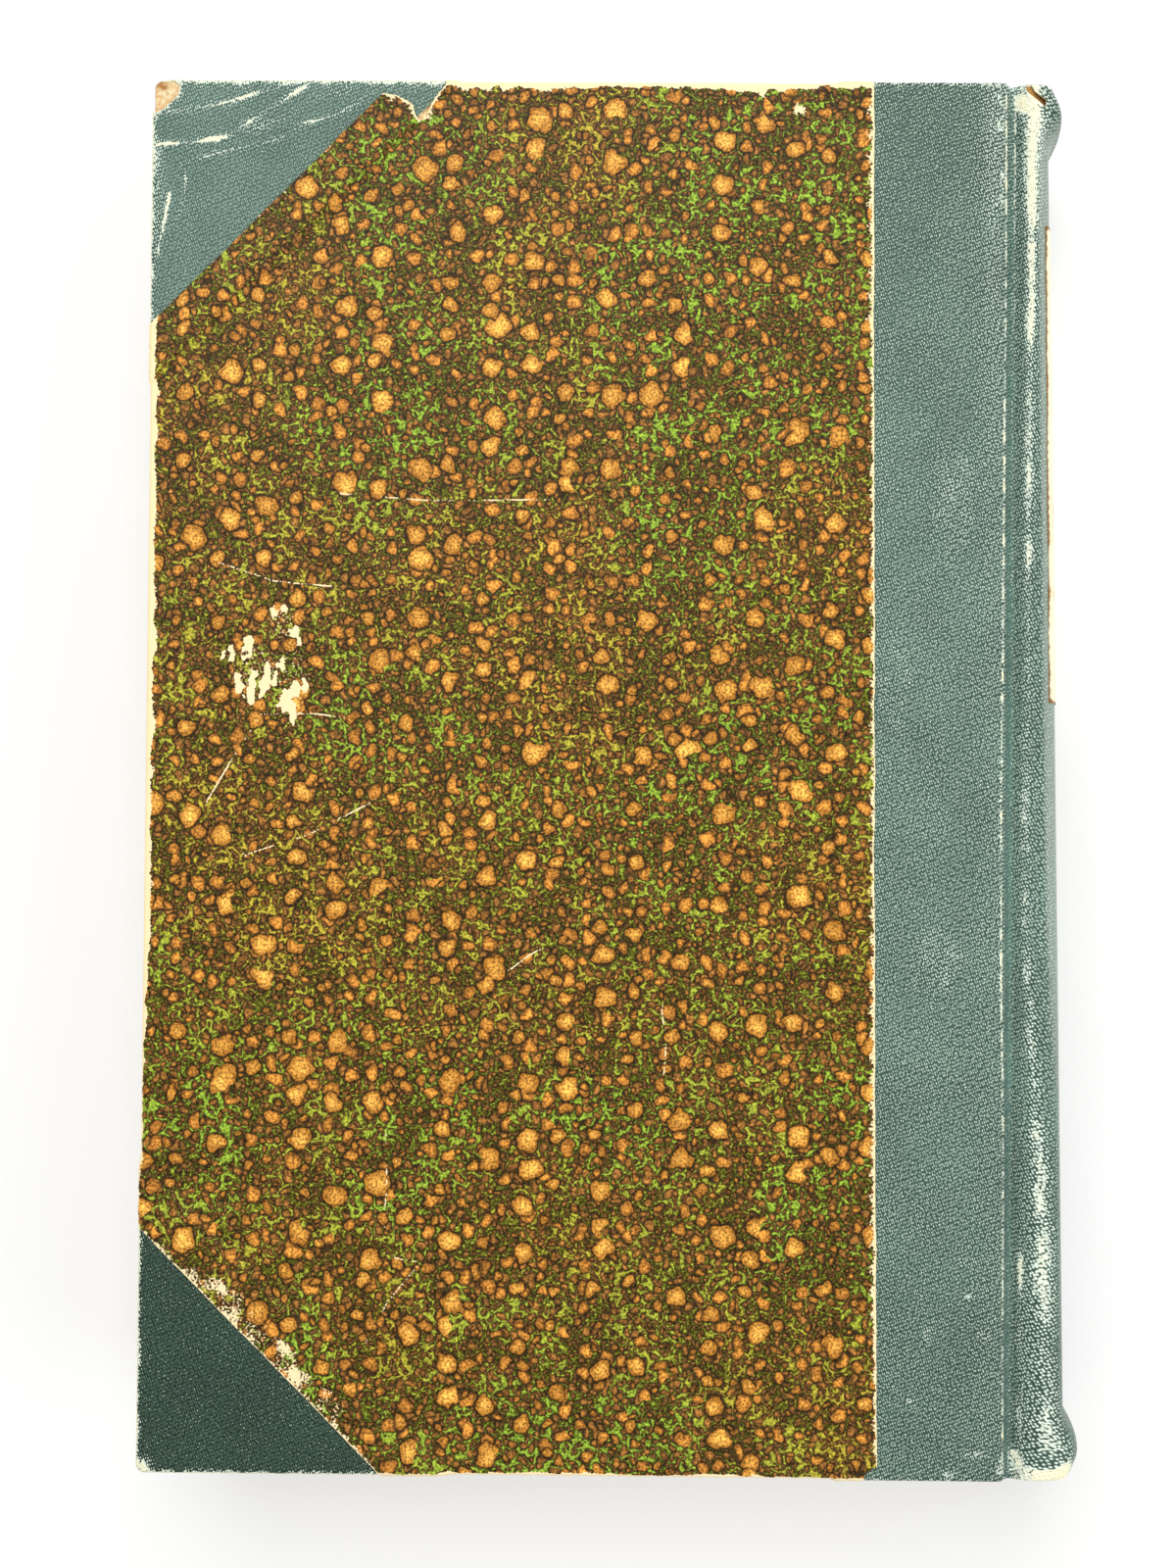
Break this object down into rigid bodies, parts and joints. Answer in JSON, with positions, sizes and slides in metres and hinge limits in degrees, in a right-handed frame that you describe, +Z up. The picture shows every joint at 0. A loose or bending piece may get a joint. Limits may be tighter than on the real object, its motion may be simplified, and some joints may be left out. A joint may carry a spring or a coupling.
{
  "type": "hardback book",
  "caption": "Half-bound hardback book: cloth spine and corners, marbled paper sides, rounded and backed leaves; both covers open on their joints.",
  "frame": {"origin": "centre of the bottom of the book's box, on the outside of the front cover that it lies on", "axes": "+X towards the spine, +Y towards the head of the leaves, +Z up out of the back cover"},
  "size_m": [0.2038, 0.3004, 0.0436],
  "materials": {
    "leaves": "trimmed leaves, yellowed at the edges",
    "endpaper": "plain aged endpaper",
    "tape": "woven linen tape",
    "mull": "open weave, glued",
    "liner": "brown lining paper, glued",
    "inlay": "grey-brown card",
    "board": "dense straw board",
    "cloth": "green pebble-grain coated bookcloth, worn pale on its high places",
    "marbled": "brown and green spot-marbled paper, rubbed and torn at its edges",
    "band": "sewn endband, faded",
    "label": "plain cream paper label, blank"
  },
  "bodies": {
    "book_block": {"text_block": "leaves", "back_flyleaf": "endpaper", "front_flyleaf": "endpaper", "sewing_tape_1": "tape", "sewing_tape_2": "tape", "sewing_tape_3": "tape", "sewing_tape_4": "tape", "spine_mull": "mull", "head_band": "band", "tail_band": "band", "spine_liner": "liner", "spine_inlay": "inlay", "spine_cloth": "cloth", "spine_label": "label"},
    "back_cover": {"back_board": "board", "back_strip": "cloth", "back_head_corner": "cloth", "back_tail_corner": "cloth", "back_side_paper": "marbled", "back_tape_slips": "tape", "back_mull_flange": "mull", "back_pastedown": "endpaper"},
    "front_cover": {"front_board": "board", "front_strip": "cloth", "front_head_corner": "cloth", "front_tail_corner": "cloth", "front_side_paper": "marbled", "front_tape_slips": "tape", "front_mull_flange": "mull", "front_pastedown": "endpaper"}
  },
  "joints": [
    {"name": "back_cover_hinge", "type": "hinge", "parent": "book_block", "child": "back_cover", "pos_m": [0.08733, 0, 0.04309], "axis": [0, 1, 0], "range_deg": [0, 180]},
    {"name": "front_cover_hinge", "type": "hinge", "parent": "book_block", "child": "front_cover", "pos_m": [0.08733, 0, 0.00051], "axis": [0, -1, 0], "range_deg": [0, 180]}
  ]
}
